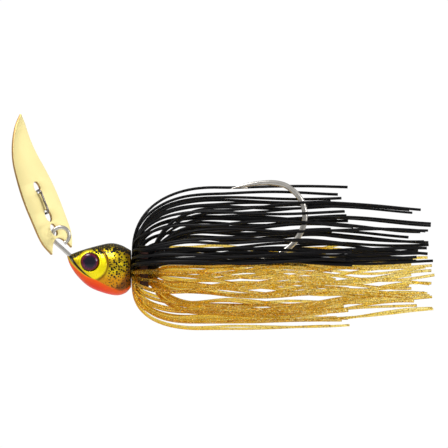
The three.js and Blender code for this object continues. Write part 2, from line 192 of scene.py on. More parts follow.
def set_attribute(obj, name, values):
    layer = obj.data.attributes.new(name, "FLOAT", "POINT")
    layer.data.foreach_set("value", np.asarray(values, np.float32))


def transport_frames(centres, normal):
    """Unit tangents and untwisted normals along a line of points."""
    tangents = np.gradient(centres, axis=0)
    tangents /= np.linalg.norm(tangents, axis=1)[:, None]
    normals = np.zeros_like(centres)
    current = np.array(normal, float)
    for i, tangent in enumerate(tangents):
        current = current - tangent * current.dot(tangent)
        current /= np.linalg.norm(current)
        normals[i] = current
    return tangents, normals


def sweep(name, centres, half_sizes, normal=(0, 1, 0), sides=16, power=2.0):
    """A closed rod along centres. half_sizes holds the half-size along the normal and across
    it at each point, and power 2 makes the section round and a larger power squarer."""
    centres = np.asarray(centres, float)
    half_sizes = np.broadcast_to(np.asarray(half_sizes, float), (len(centres), 2))
    tangents, normals = transport_frames(centres, normal)
    across = np.cross(tangents, normals)
    angles = np.linspace(0, 2 * np.pi, sides, endpoint=False) + np.pi / sides
    cos = np.sign(np.cos(angles)) * np.abs(np.cos(angles)) ** (2 / power)
    sin = np.sign(np.sin(angles)) * np.abs(np.sin(angles)) ** (2 / power)
    rings = (
        centres[:, None]
        + normals[:, None] * (cos[None, :, None] * half_sizes[:, :1, None])
        + across[:, None] * (sin[None, :, None] * half_sizes[:, 1:, None])
    )
    vertices = rings.reshape(-1, 3)
    n = len(centres)
    faces = []
    for i in range(n - 1):
        for j in range(sides):
            k = (j + 1) % sides
            faces.append((i * sides + j, i * sides + k, (i + 1) * sides + k, (i + 1) * sides + j))
    faces.append(tuple(reversed(range(sides))))
    faces.append(tuple((n - 1) * sides + j for j in range(sides)))
    obj = mesh_object(name, vertices, faces)
    for face in obj.data.polygons[-2:]:
        face.use_smooth = False
    return obj


def lathe_x(name, profile, z, segments=64):
    """A ring turned about a line along X at height z, from a closed (radius, x) profile."""
    rows = len(profile)
    vertices, faces = [], []
    for s in range(segments):
        c, d = polar(1, 360 * s / segments)
        vertices += [(x, r * d, z + r * c) for r, x in profile]
        t = (s + 1) % segments
        for i in range(rows):
            j = (i + 1) % rows
            faces.append((s * rows + i, s * rows + j, t * rows + j, t * rows + i))
    return mesh_object(name, vertices, faces)


def stand_for(obj, node, body, material):
    """Give a piece its one material, its body and the CAD node it replaces, if any."""
    obj.data.materials.clear()
    obj.data.materials.append(material)
    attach(obj, body)
    if node:
        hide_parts(node)
    return obj


# ------------------------------------------------------------------ materials


class Shader:
    """A material's node tree with a Principled shader, and short ways to add nodes to it."""

    def __init__(self, name, **sockets):
        self.material = bpy.data.materials.new(name)
        self.material.use_nodes = True
        self.nodes = self.material.node_tree.nodes
        self.links = self.material.node_tree.links
        self.bsdf = self.nodes["Principled BSDF"]
        for socket, value in sockets.items():
            self.bsdf.inputs[socket.replace("_", " ")].default_value = value

    def node(self, kind, settings=None, **inputs):
        made = self.nodes.new(kind)
        for key, value in (settings or {}).items():
            setattr(made, key, value)
        for key, value in inputs.items():
            socket = made.inputs[int(key[1:])] if key[0] == "i" and key[1:].isdigit() else None
            socket = socket or made.inputs[key.replace("_", " ")]
            if isinstance(value, bpy.types.NodeSocket):
                self.links.new(value, socket)
            else:
                socket.default_value = value
        return made

    def place(self):
        return self.node("ShaderNodeTexCoord").outputs["Object"]

    def noise(self, scale, detail=3.0, roughness=0.55, vector=None):
        made = self.node(
            "ShaderNodeTexNoise",
            Vector=vector or self.place(),
            Scale=scale,
            Detail=detail,
            Roughness=roughness,
        )
        return made.outputs["Fac"]

    def cells(self, scale):
        """Small cells, each with three random numbers of its own."""
        made = self.node("ShaderNodeTexVoronoi", Vector=self.place(), Scale=scale)
        return self.node("ShaderNodeSeparateColor", Color=made.outputs["Color"]).outputs

    def span(self, value, low, high, to_low=0.0, to_high=1.0, smooth=True):
        made = self.node(
            "ShaderNodeMapRange",
            {"interpolation_type": "SMOOTHSTEP" if smooth else "LINEAR"},
            Value=value,
            From_Min=low,
            From_Max=high,
            To_Min=to_low,
            To_Max=to_high,
        )
        return made.outputs["Result"]

    def maths(self, operation, a, b=0.0):
        return self.node("ShaderNodeMath", {"operation": operation}, i0=a, i1=b).outputs[0]

    def mix(self, factor, a, b):
        made = self.node("ShaderNodeMix", {"data_type": "RGBA"})
        for index, value in ((0, factor), (6, a), (7, b)):
            if isinstance(value, bpy.types.NodeSocket):
                self.links.new(value, made.inputs[index])
            elif index == 0:
                made.inputs[index].default_value = value
            else:
                made.inputs[index].default_value = (*value, 1)
        return made.outputs[2]

    def mask(self, name):
        return self.node("ShaderNodeAttribute", {"attribute_name": name}).outputs["Fac"]

    def bump(self, height, strength, distance, normal=None):
        made = self.node(
            "ShaderNodeBump", Height=height, Strength=strength, Distance=distance
        )
        if normal:
            self.links.new(normal, made.inputs["Normal"])
        return made.outputs["Normal"]

    def send(self, value, socket):
        self.links.new(value, self.bsdf.inputs[socket])


def nickel_material(name, tint, roughness):
    """Bright plated wire with a slightly uneven polish."""
    s = Shader(name, Metallic=1.0)
    cloud = s.noise(350, 3)
    fine = s.noise(6000, 2)
    s.send(s.mix(cloud, tint, [0.9 * c for c in tint]), "Base Color")
    s.send(s.span(cloud, 0.3, 0.7, roughness - 0.03, roughness + 0.05), "Roughness")
    s.send(s.bump(fine, 0.03, 0.00001), "Normal")
    return s.material


def blade_material():
    """Pale gold plate with a fine satin grain that runs along the blade, and painted shade on its
    cut edges.
    """
    s = Shader("blade_gold", Metallic=1.0)
    along = s.node("ShaderNodeMapping", Vector=s.node("ShaderNodeUVMap").outputs[0])
    along.inputs["Scale"].default_value = (9000, 350, 1)
    grain = s.noise(1, 3, 0.6, along.outputs[0])
    cloud = s.noise(220, 3)
    speck = s.noise(5200, 2)
    tone = s.mix(cloud, (0.92, 0.79, 0.35), (0.96, 0.85, 0.42))
    face = s.mix(s.span(grain, 0.35, 0.7, 0, 0.35), tone, (0.87, 0.72, 0.30))
    # Painted shade: the cut edges, marked by the rim mask, are darkened to brown.
    s.send(s.mix(s.mask("rim"), face, (0.50, 0.30, 0.11)), "Base Color")
    s.send(s.span(grain, 0.3, 0.7, 0.36, 0.5), "Roughness")
    coarse = s.bump(grain, 0.1, 0.00002)
    s.send(s.bump(speck, 0.1, 0.00003, coarse), "Normal")
    return s.material


def black_silicone():
    """Black silicone with a soft sheen and a finely uneven surface."""
    s = Shader("skirt_black", Specular_IOR_Level=0.13)
    cloud = s.noise(700, 3)
    fine = s.noise(6500, 2)
    s.send(s.mix(cloud, (0.002, 0.002, 0.0025), (0.007, 0.0065, 0.0075)), "Base Color")
    s.send(s.span(cloud, 0.3, 0.7, 0.3, 0.46), "Roughness")
    s.send(s.bump(fine, 0.25, 0.00004), "Normal")
    return s.material


def gold_silicone():
    """Clear amber silicone filled with fine gold glitter and a little black."""
    s = Shader("skirt_gold", IOR=1.14, Specular_IOR_Level=0.3)
    back = s.node("ShaderNodeSeparateXYZ", Vector=s.place()).outputs["X"]
    flakes = s.cells(4200)
    cloud = s.noise(160, 3)
    # Painted light: deeper amber near the head, where the strands bunch, and paler towards the
    # free ends, where light comes through them.
    shaded_near_head = s.mix(s.span(cloud, 0.3, 0.7), (0.78, 0.50, 0.05), (0.88, 0.65, 0.12))
    lit_tail = s.mix(s.span(cloud, 0.3, 0.7), (0.92, 0.71, 0.11), (0.98, 0.87, 0.38))
    amber = s.mix(s.span(back, 20 * MM, 85 * MM, smooth=False), shaded_near_head, lit_tail)
    amber = s.mix(s.mask("depth"), amber, (0.80, 0.45, 0.008))
    bright = s.mix(flakes[2], (0.95, 0.72, 0.16), (1.0, 0.93, 0.58))
    fleck = s.span(flakes[0], 0.80, 0.84)
    amount = s.span(back, 22 * MM, 60 * MM, 0.4, 1, smooth=False)
    fleck = s.maths("MULTIPLY", fleck, amount)
    dark = s.maths("MULTIPLY", s.span(flakes[1], 0.91, 0.93), amount)
    tone = s.mix(fleck, amber, bright)
    s.send(s.mix(dark, tone, (0.28, 0.17, 0.03)), "Base Color")
    s.send(s.maths("SUBTRACT", 0.95, s.maths("MULTIPLY", fleck, 0.55)), "Transmission Weight")
    s.send(s.span(flakes[2], 0, 1, 0.1, 0.3), "Roughness")
    s.send(s.bump(flakes[0], 0.1, 0.00003), "Normal")
    return s.material


def rubber_material():
    """Matt dark red-brown rubber with a fine grain."""
    s = Shader("collar_rubber", Specular_IOR_Level=0.3)
    grain = s.noise(5000, 3)
    s.send(s.mix(grain, (0.020, 0.004, 0.002), (0.05, 0.012, 0.006)), "Base Color")
    s.send(s.span(grain, 0.3, 0.7, 0.62, 0.8), "Roughness")
    s.send(s.bump(grain, 0.3, 0.00004), "Normal")
    return s.material


def head_material():
    """Airbrushed paint over gold foil: an olive-black back that breaks into black dots, gold
    flanks that turn amber below, a dark jaw line and an orange-red belly, under clear coat."""
    s = Shader("head_paint", Specular_IOR_Level=0.1, Coat_Weight=0.5, Coat_IOR=1.32)
    cloud = s.noise(380, 4)
    mottle = s.noise(1500, 3)
    foil_grain = s.cells(2800)
    gold = s.mix(s.span(cloud, 0.35, 0.65), (0.48, 0.32, 0.006), (0.84, 0.66, 0.012))
    amber = s.mix(mottle, (0.50, 0.17, 0.001), (0.82, 0.37, 0.003))
    tone = s.mix(s.mask("amber"), gold, amber)
    tone = s.mix(s.mask("glow"), tone, (0.98, 0.82, 0.006))
    # Painted shade: dark brown along the edges of the cheek and gill cover, and towards the back
    # of the head.
    tone = s.mix(s.mask("shade"), tone, (0.15, 0.036, 0.001))
    side = s.node("ShaderNodeSeparateXYZ", Vector=s.place())
    flat = s.node("ShaderNodeCombineXYZ", X=side.outputs["X"], Y=side.outputs["Z"])
    dots = s.node(
        "ShaderNodeTexVoronoi",
        {"voronoi_dimensions": "2D"},
        Vector=flat.outputs[0],
        Scale=1600,
        Randomness=0.88,
    )
    size = s.node("ShaderNodeSeparateColor", Color=dots.outputs["Color"])
    reach = s.maths("MULTIPLY", s.mask("dots"), s.span(size.outputs[0], 0, 1, 0.28, 0.80, False))
    edge = s.maths("SUBTRACT", reach, dots.outputs["Distance"])
    dotted = s.span(edge, -0.04, 0.05)
    spotted = s.mix(dotted, tone, (0.010, 0.007, 0.002))
    dark = s.mix(foil_grain[0], (0.004, 0.003, 0.001), (0.030, 0.023, 0.004))
    crown = s.mix(s.span(dots.outputs["Distance"], 0.04, 0.34), (0.22, 0.15, 0.010), dark)
    backed = s.mix(s.mask("crown"), spotted, crown)
    # The line mask holds the dark jaw line, the eye socket painted dark, and a painted shadow
    # along the head's back edge.
    lined = s.mix(s.mask("line"), backed, (0.008, 0.006, 0.003))
    lipped = s.mix(s.mask("lip"), lined, (0.82, 0.50, 0.06))
    red = s.mix(s.mask("deep"), (1.0, 0.11, 0.002), (1.0, 0.03, 0.001))
    s.send(s.mix(s.mask("belly"), lipped, red), "Base Color")
    covered = s.maths("MAXIMUM", s.mask("belly"), s.mask("line"))
    covered = s.maths("MAXIMUM", covered, s.mask("crown"))
    covered = s.maths("MAXIMUM", covered, dotted)
    s.send(s.span(covered, 0, 1, 0.5, 0.0, smooth=False), "Metallic")
    s.send(s.span(mottle, 0.3, 0.7, 0.26, 0.44), "Roughness")
    pits = s.bump(foil_grain[1], 0.10, 0.00004)
    s.send(s.bump(dotted, 0.25, 0.00003, pits), "Normal")
    return s.material


def eye_print(s):
    """The eye's print: a blue-black pupil, a violet iris with fine rays and a dark red rim."""
    offset = s.node("ShaderNodeVectorMath", {"operation": "SUBTRACT"}, i0=s.place())
    offset.inputs[1].default_value = (EYE_X * MM, 0, EYE_Z * MM)
    flat = s.node("ShaderNodeVectorMath", {"operation": "MULTIPLY"}, i0=offset.outputs[0])
    flat.inputs[1].default_value = (1, 0, 1)
    length = s.node("ShaderNodeVectorMath", {"operation": "LENGTH"}, i0=flat.outputs[0])
    radius = length.outputs["Value"]
    rays = s.noise(2200, 4)
    iris = s.mix(s.span(rays, 0.35, 0.65), (0.02, 0.002, 0.02), (0.13, 0.006, 0.065))
    tone = s.mix(s.span(radius, 1.2 * MM, 1.75 * MM), (0.004, 0.004, 0.014), iris)
    tone = s.mix(s.span(radius, 1.75 * MM, 1.95 * MM), tone, (0.14, 0.004, 0.008))
    return s.mix(s.span(radius, 2.0 * MM, 2.2 * MM), tone, (0.010, 0.001, 0.002)), rays


def eye_foil_material():
    """The printed foil disc."""
    s = Shader("eye_foil", Specular_IOR_Level=0.3)
    tone, rays = eye_print(s)
    s.send(tone, "Base Color")
    s.send(s.span(rays, 0.3, 0.7, 0.3, 0.5), "Roughness")
    s.send(s.bump(rays, 0.15, 0.00003), "Normal")
    return s.material


def lens_material():
    """The resin dome. It fills with the print under it, as it does on a real eye."""
    coat = {"Coat_Weight": 1.0, "Coat_IOR": 1.36, "Coat_Roughness": 0.02}
    s = Shader("eye_lens", Specular_IOR_Level=0.1, **coat)
    tone, rays = eye_print(s)
    s.send(tone, "Base Color")
    s.send(s.span(rays, 0.3, 0.7, 0.25, 0.4), "Roughness")
    s.send(s.bump(rays, 0.03, 0.00002), "Normal")
    return s.material


# ------------------------------------------------------------------ hook


def on_ring(angle):
    x, z = polar(RING_RADIUS, angle)
    return (x, 0, z)


def hook_route():
    bend = [
        (42.4, 11.7), (44.6, 12.25), (47, 12.75), (50, 13.15), (53.2, 13.2), (56.1, 12.55),
        (58.4, 11.0), (60.1, 8.9), (61, 6.2), (61, 3.6), (60.1, 0.9), (58.2, -1.9),
        (55.6, -4.1), (52, -5.75), (47.5, -6.6), (38, -6.85), (25, -7.0), (12, -7.3),
        (6.6, -7.25), (4.6, -6.65), (3.1, -5.59),
    ]
    points = [(x, 0, z) for x, z in bend]
    x, _, z = on_ring(STEM_ANGLE)
    dx, dz = -math.sin(math.radians(STEM_ANGLE)), math.cos(math.radians(STEM_ANGLE))
    points.append((x + 2.4 * dx, 0, z + 2.4 * dz))
    turns = 14
    for i in range(turns + 1):
        points.append(on_ring(lerp(STEM_ANGLE, RING_CUT_ANGLE, i / turns)))
    return points


def make_hook(material):
    per_span = 8
    route = smooth_through(hook_route(), per_span)
    station = np.arange(len(route)) / per_span
    taper = np.interp(station, [0, 0.5, 1, 1.5, 2.2], [0.05, 0.32, 0.56, 0.8, 1])
    forged = smoothstep(station, 2, 4.5) * (1 - smoothstep(station, 13, 15.5))
    depth = WIRE_RADIUS * taper * lerp(1, FORGED_DEPTH, forged)
    width = WIRE_RADIUS * taper * lerp(1, 0.94, forged)
    power = 2.6
    body = sweep("hook_wire", route, np.column_stack([width, depth]), (0, 1, 0), 24, power)
    barb = sweep(
        "hook_barb",
        [(45.15, 0, 12.05), (45.9, 0, 12.0), (46.5, 0, 11.95), (46.95, 0, 11.72)],
        [(0.22, 0.2), (0.2, 0.26), (0.13, 0.22), (0.03, 0.04)],
        (0, 1, 0),
        12,
    )
    stand_for(barb, None, "jig", material)
    stand_for(body, "hook", "jig", material)


# ------------------------------------------------------------------ head


TOP_LINE = uniform_spline([
    (NOSE_X, -5.1), (2.9, -4.55), (5, -3.75), (8.4, -2.75), (12.4, -1.9), (15.2, -2.4),
    (HEAD_BACK_X, -3.7),
])
BOTTOM_LINE = uniform_spline([
    (NOSE_X, -5.1), (2.4, -7.4), (4.2, -10.1), (7, -12.7), (10.4, -14.2), (14, -14.95),
    (16.3, -14.3), (HEAD_BACK_X, -12.9),
])
WIDTH_LINE = uniform_spline([
    (NOSE_X, 0), (2.6, 1.35), (4.6, 2.65), (7.5, 3.85), (11, 4.6), (14, 4.8), (16.2, 4.6),
    (HEAD_BACK_X, 4.2),
])


def at(line, x):
    return np.interp(x, line[:, 0], line[:, 1])


# The paint's borders on the flank, as heights along the head.
RED_LINE = uniform_spline([
    (NOSE_X, -5.3), (3.15, -7.4), (6.2, -9.85), (9.2, -11.1), (12.2, -12.8), (15.3, -13.9),
    (HEAD_BACK_X, -12.7),
])
CROWN_LINE = uniform_spline([
    (NOSE_X, -5.3), (3.0, -5.75), (3.9, -5.6), (4.8, -4.95), (6.3, -3.85), (9.35, -3.55),
    (11.6, -3.1), (14.7, -2.95), (HEAD_BACK_X, -4.1),
])
NET_LINE = uniform_spline([
    (NOSE_X, -5.1), (6.3, -3.9), (9.35, -4.5), (11.6, -5.0), (14.7, -4.0), (HEAD_BACK_X, -5.2),
])

# Round edges on the cheek, as X, Z and radius.
GILL = (10.3, -7.4, 6.3)
CHEEK = (7.6, -7.0, 4.3)


def jaw_height(x):
    return -4.85 - 1.5 * (x - 2.2) + 0.0877 * (x - 2.2) ** 2


def from_arc(x, z, arc):
    """Distance outside an arc's circle."""
    return np.hypot(x - arc[0], z - arc[1]) - arc[2]


def ridge(distance, width):
    return np.exp(-((distance / width) ** 2))


def head_relief(x, z):
    """How far the casting stands proud of its plain form, in millimetres."""
    gill = 0.2 * (1 - smoothstep(from_arc(x, z, GILL), -0.2, 0.2)) * smoothstep(x, 11.5, 14)
    cheek = -0.16 * ridge(from_arc(x, z, CHEEK), 0.25) * smoothstep(x, 8.6, 10.2)
    orbit = 0.16 * ridge(from_arc(x, z, (EYE_X, EYE_Z, 2.62)), 0.2)
    jaw = -0.15 * ridge(z - jaw_height(x), 0.3) * (1 - smoothstep(x, 6.8, 8.0))
    return gill + cheek + orbit + jaw


def head_masks(obj, x, z):
    """Vertex masks for each colour of the head's paint, and for the painted shade along the
    cheek, the gill cover and the back of the head.
    """
    behind_eye = smoothstep(x, 8.2, 10.0)
    eye = from_arc(x, z, (EYE_X, EYE_Z, 0))
    belly = 1 - smoothstep(z - at(RED_LINE, x), -0.15, 0.15 + 0.5 * smoothstep(x, 9, 14))
    crown = smoothstep(z - at(CROWN_LINE, x), -0.12, 0.3)
    below_jaw = jaw_height(x) - z
    jaw_half = 0.62 * (1 - smoothstep(x, 1.8, 8.2)) + 0.06
    line = 1 - smoothstep(np.abs(below_jaw), jaw_half * 0.6, jaw_half + 0.15)
    line = line * (1 - smoothstep(x, 7.4, 8.4))
    lip = ridge(below_jaw - 0.55 - jaw_half * 0.5, 0.22) * (1 - smoothstep(x, 7.6, 9.6))
    cheek = from_arc(x, z, CHEEK)
    cheek_shadow = lerp(0.7, 1, smoothstep(z, -8, -5)) * ridge(cheek - 0.12, 0.32) * behind_eye
    gill_shadow = 0.85 * smoothstep(from_arc(x, z, GILL), -0.15, 0.55) * smoothstep(x, 12.5, 14.5)
    rear_shadow = 0.6 * smoothstep(x, 16.4, 17.3)
    glow = (1 - smoothstep(cheek, -0.5, 0.0)) * lerp(0.35, 1, smoothstep(x, 5.5, 9.0))
    glow = np.maximum(glow, ridge(eye - 2.55, 0.22))
    amber = (1 - smoothstep(z, -11.2, -8.4)) * smoothstep(cheek, -0.2, 0.4)
    net = smoothstep(z - at(NET_LINE, x), -0.5, 0.6) * smoothstep(x, 5.5, 8.5)
    dots = 0.62 * smoothstep(x, 11.2, 12.6) * (1 - 0.35 * smoothstep(-z, 9.5, 12))
    dots = np.maximum(dots * smoothstep(cheek, 0.2, 0.8), 1.15 * net)
    socket = 1 - smoothstep(eye, 2.28, 2.42)
    # Painted shadow: a dark band along the head's back edge, where it meets the skirt, added to
    # the line mask.
    back_edge_shadow = smoothstep(x, HEAD_BACK_X - 0.25, HEAD_BACK_X)
    for name, values in (
        ("belly", belly),
        ("deep", smoothstep(at(RED_LINE, x) - z, -0.2, 2.4) * smoothstep(x, 1.6, 9)),
        ("crown", crown * (1 - ridge(eye - 2.5, 0.3))),
        ("line", np.maximum(np.maximum(line, socket), back_edge_shadow)),
        ("lip", lip * (1 - line)),
        ("shade", np.maximum(np.maximum(cheek_shadow, gill_shadow), rear_shadow)),
        ("glow", glow * (1 - socket)),
        ("amber", amber),
        ("dots", dots),
    ):
        set_attribute(obj, name, values)


def make_head(material):
    rows, around = 190, 200
    share = (np.arange(rows + 1) / rows) ** 1.35
    xs = lerp(NOSE_X, HEAD_BACK_X, share)
    top, bottom, width = at(TOP_LINE, xs), at(BOTTOM_LINE, xs), at(WIDTH_LINE, xs)
    turn = np.linspace(0, 2 * np.pi, around, endpoint=False)
    x = np.repeat(xs, around)
    y = (width[:, None] * np.sin(turn)).ravel()
    z = ((top + bottom)[:, None] / 2 + (top - bottom)[:, None] / 2 * np.cos(turn)).ravel()
    flank = np.abs(np.tile(np.sin(turn), rows + 1))
    y = y + np.sign(y) * head_relief(x, z) * smoothstep(flank, 0.25, 0.6)
    eye = np.hypot(x - EYE_X, z - EYE_Z)
    sunk = (eye < EYE_RADIUS + 0.09) & (np.abs(y) > SOCKET_FLOOR_Y)
    y = np.where(sunk, np.sign(y) * SOCKET_FLOOR_Y, y)
    vertices = list(zip(x, y, z))
    faces = []
    for i in range(rows):
        for j in range(around):
            k = (j + 1) % around
            near, far = i * around, (i + 1) * around
            faces.append((near + j, far + j, far + k, near + k))
    rim = rows * around
    barrel = []
    for radius, bx in (
        (BARREL_RADIUS, HEAD_BACK_X), (BARREL_RADIUS, BARREL_END_X - 0.3),
        (BARREL_RADIUS - 0.3, BARREL_END_X), (0.75, BARREL_END_X), (0.75, BARREL_END_X - 3),
    ):
        start = len(vertices)
        barrel.append(start)
        centre = SKIRT_AXIS_Z if radius > 1 else -7.0
        for a in turn:
            vertices.append((bx, radius * math.sin(a), centre + radius * math.cos(a)))
    for lower, upper in zip([rim, *barrel], barrel):
        for j in range(around):
            k = (j + 1) % around
            faces.append((lower + j, upper + j, upper + k, lower + k))
    faces.append(tuple(reversed(range(around))))
    faces.append(tuple(barrel[-1] + j for j in range(around)))
    head = mesh_object("head_casting", vertices, faces)
    xyz = np.array(vertices)
    head_masks(head, np.minimum(xyz[:, 0], HEAD_BACK_X), xyz[:, 2])
    return stand_for(head, "head", "jig", material)


# ------------------------------------------------------------------ eyes


def dome(name, profile, side, floor, segments=56):
    """A disc or dome on the flank: profile rows are (radius, height from the floor)."""
    vertices, faces = [], []
    for r, h in profile:
        for s in range(segments):
            c, d = polar(r, 360 * s / segments)
            vertices.append((EYE_X + c, side * (floor + h), EYE_Z + d))
    for i in range(len(profile) - 1):
        for s in range(segments):
            t = (s + 1) % segments
            near, far = i * segments, (i + 1) * segments
            quad = (near + s, near + t, far + t, far + s)
            faces.append(quad if side < 0 else tuple(reversed(quad)))
    first = tuple(range(segments))
    last = tuple((len(profile) - 1) * segments + s for s in range(segments))
    faces.append(tuple(reversed(first)) if side < 0 else first)
    faces.append(last if side < 0 else tuple(reversed(last)))
    return mesh_object(name, vertices, faces)


def make_eyes(foil, lens):
    for label, side in (("near", -1), ("far", 1)):
        floor = SOCKET_FLOOR_Y + 0.05
        bevelled = EYE_RADIUS - 0.05
        disc = [(bevelled, 0), (EYE_RADIUS, 0.05), (EYE_RADIUS, 0.25), (bevelled, 0.3)]
        disc += [(1.6, 0.3), (0.6, 0.3)]
        iris = dome(f"iris_{label}", disc, side, floor)
        stand_for(iris, f"eye_iris_{label}", "jig", foil)
        crown, steps = 0.85, 16
        profile = [(EYE_RADIUS, 0)]
        for i in range(steps):
            c, d = polar(1, 90 * i / steps)
            profile.append((EYE_RADIUS * c, 0.15 + crown * d))
        cap = dome(f"lens_{label}", profile, side, floor + 0.35)
        stand_for(cap, f"eye_lens_{label}", "jig", lens)


# ------------------------------------------------------------------ blade and snap


def blade_matrix():
    """The blade's own frame: X across, Y along the blade, Z the normal of its rear face."""
    across = Matrix.Rotation(math.radians(-BLADE_TWIST), 3, BLADE_ALONG) @ Vector((0, 1, 0))
    normal = across.cross(BLADE_ALONG)
    turn = Matrix((across, BLADE_ALONG, normal)).transposed()
    return Matrix.Translation(BLADE_ORIGIN) @ turn.to_4x4()


def blade_edge():
    side = [
        (-5.4, 5.5), (-2, 7.9), (4, 8.6), (10, 8.6), (16, 7.45), (22, 5.35), (27.6, 2.4),
        (BLADE_TIP, 0),
    ]
    right = smooth_through([(across, along, 0) for along, across in side], 10)[:, :2]
    notch = []
    for t in np.linspace(0, 1, 14, endpoint=False):
        notch.append((
            2 * (1 - t) * t * 2.6 + t * t * 5.5,
            (1 - t) ** 2 * -2.0 + 2 * (1 - t) * t * -1.9 + t * t * -5.4,
        ))
    half = np.vstack([np.array(notch), right])
    mirrored = half[::-1][1:-1] * (-1, 1)
    return np.vstack([half, mirrored])


def circle(centre_y, radius, count=40):
    angles = np.linspace(0, 2 * np.pi, count, endpoint=False)
    return np.column_stack([radius * np.cos(angles), centre_y + radius * np.sin(angles)])


def flat_plate(name, loops, thickness, bevel):
    """A plate with holes and rounded edges, from closed outlines in its own plane."""
    curve = bpy.data.curves.new(name, "CURVE")
    curve.dimensions = "2D"
    curve.fill_mode = "BOTH"
    curve.extrude = thickness / 2 - bevel
    curve.bevel_depth = bevel
    curve.bevel_resolution = 2
    curve.offset = -bevel
    for loop in loops:
        spline = curve.splines.new("POLY")
        spline.points.add(len(loop) - 1)
        for point, (x, y) in zip(spline.points, loop):
            point.co = (x, y, 0, 1)
        spline.use_cyclic_u = True
    holder = new_object(name + "_outline", curve)
    bpy.context.view_layer.update()
    mesh = bpy.data.meshes.new_from_object(
        holder.evaluated_get(bpy.context.evaluated_depsgraph_get())
    )
    bpy.data.objects.remove(holder)
    return mesh


def make_blade(material):
    loops = [blade_edge(), circle(*EYE_HOLE)]
    loops += [circle(along, SNAP_HOLE_RADIUS) for along in SNAP_HOLES]
    mesh = flat_plate("blade_sheet", loops, SHEET, 0.09)
    work = bmesh.new()
    work.from_mesh(mesh)
    bmesh.ops.remove_doubles(work, verts=work.verts, dist=0.002)
    for along in np.arange(BEND_START, BLADE_TIP, 0.6):
        everything = [*work.verts, *work.edges, *work.faces]
        bmesh.ops.bisect_plane(work, geom=everything, plane_co=(0, along, 0), plane_no=(0, 1, 0))
    across_uv = work.loops.layers.uv.new("UVMap")
    for face in work.faces:
        for corner in face.loops:
            corner[across_uv].uv = (corner.vert.co.x * MM, corner.vert.co.y * MM)
    # The rim mask marks the cut edges, which carry the blade's painted shade.
    cut_edge_shade = work.verts.layers.float.new("rim")
    for vertex in work.verts:
        vertex[cut_edge_shade] = float(abs(vertex.co.z) < SHEET / 2 - 0.05)
        if vertex.co.y > BEND_START:
            angle = math.asin((vertex.co.y - BEND_START) / BEND_RADIUS)
            reach = BEND_RADIUS - vertex.co.z
            vertex.co.y = BEND_START + reach * math.sin(angle)
            vertex.co.z = BEND_RADIUS - reach * math.cos(angle)
    work.to_mesh(mesh)
    work.free()
    mesh.transform(Matrix.Scale(MM, 4) @ blade_matrix())
    mesh.shade_smooth()
    mesh.set_sharp_from_angle(angle=math.radians(35))
    blade = new_object("blade_sheet", mesh)
    return stand_for(blade, "blade", "blade", material)


def snap_route():
    low, high = SNAP_LEGS
    middle = (low + high) / 2
    nose_y = SNAP_LENGTH - SNAP_NOSE_RADIUS
    points = [
        (low + 0.1, 4.2, 0), (low, 1.6, 0), (low + 0.05, 0.55, 0), (low + 0.55, 0, 0),
        (middle, 0, 0), (high - 0.55, 0, 0), (high - 0.05, 0.55, 0), (high, 1.6, 0),
        (high - 0.2, 4.2, 0), (high - 1.5, 7.6, 0),
    ]
    for i in range(7):
        x, y = polar(SNAP_NOSE_RADIUS, -10 + 33.3 * i)
        points.append((middle + x, nose_y + y, 0))
    points += [(low + 1.7, 8.4, 0.1), (low + 1.1, 6.4, 0.35), (low + 0.75, 4.6, 0.72)]
    points += [(low + 0.1, 3.5, 0.85), (low - 0.75, 3.2, 0.45)]
    return points


def make_snap(material):
    out = Vector((math.sin(math.radians(SNAP_TURN)), 0, -math.cos(math.radians(SNAP_TURN))))
    along = Vector((0, 1, 0))
    turn = Matrix((along, out, along.cross(out))).transposed().to_4x4()
    place = blade_matrix() @ Matrix.Translation((0, 0, SNAP_SEAT)) @ turn
    route = [place @ Vector(p) for p in smooth_through(snap_route(), 8)]
    snap = sweep("snap_wire", route, (SNAP_WIRE_RADIUS, SNAP_WIRE_RADIUS), (1, 0, 0), 16)
    return stand_for(snap, "line_snap", "snap", material)


# ------------------------------------------------------------------ skirt


# Collar angle to trailing angle, both from straight up and positive to the far side.
SPREAD = [
    (-200, -200), (-180, -180), (-92, -87), (-32, -60), (-27, -46), (-19, -27), (-12, -5),
    (-7, 8), (68, 55), (80, 66), (180, 180), (200, 200),
]
HALVES = {
    "front": {
        "channel": 0,
        "share": {"inner": 0.97, "outer": 0.85},
        "ends": (1, 0.95),
        "full_x": 50,
        "end_x": 69.5,
        "end_scatter": 3.2,
        "phase": {"inner": 0.4, "outer": 2.6},
    },
    "rear": {
        "channel": 1,
        "share": {"inner": 0.52, "outer": 0.72},
        "full": {"inner": (0.52, 0.62), "outer": (0.74, 0.88)},
        "ends": (0.88, 0.78),
        "full_x": 66,
        "end_x": 90,
        "end_scatter": 3.4,
        "phase": {"inner": 4.4, "outer": 2.6},
    },
}
FLARE_LEAN = {"inner": -0.4, "outer": 0.2}
REAR_DELAY = {"inner": 0.9, "outer": 0}
SLITS = [
    {"level": -2.2, "push": 0.7, "width": 2.4},
    {"level": -15.8, "push": 0.9, "width": 2.1},
]


def scatter(n, channel):
    """Even, repeatable scatter between -1 and 1 for strand number n."""
    wave = math.sin(n * 12.9898 + channel * 78.233) * 43758.5453
    return 2 * (wave - math.floor(wave)) - 1


def spread_at(angle):
    """The trailing angle, and how far it moves for a degree at the collar."""
    row = next(i for i, (collar, _) in enumerate(SPREAD) if angle <= collar)
    (from_collar, from_trail), (to_collar, to_trail) = SPREAD[row - 1], SPREAD[row]
    slope = (to_trail - from_trail) / (to_collar - from_collar)
    return from_trail + slope * (angle - from_collar), slope


def skirt_radius(angle):
    up, across = math.cos(math.radians(angle)), math.sin(math.radians(angle))
    return 1 / math.hypot(up / (SKIRT_UP if up > 0 else SKIRT_DOWN), across / SKIRT_ACROSS)


def bezier(points, t):
    p = np.array(points, float)
    t = t[:, None]
    return (
        (1 - t) ** 3 * p[0] + 3 * (1 - t) ** 2 * t * p[1] + 3 * (1 - t) * t**2 * p[2]
        + t**3 * p[3]
    )


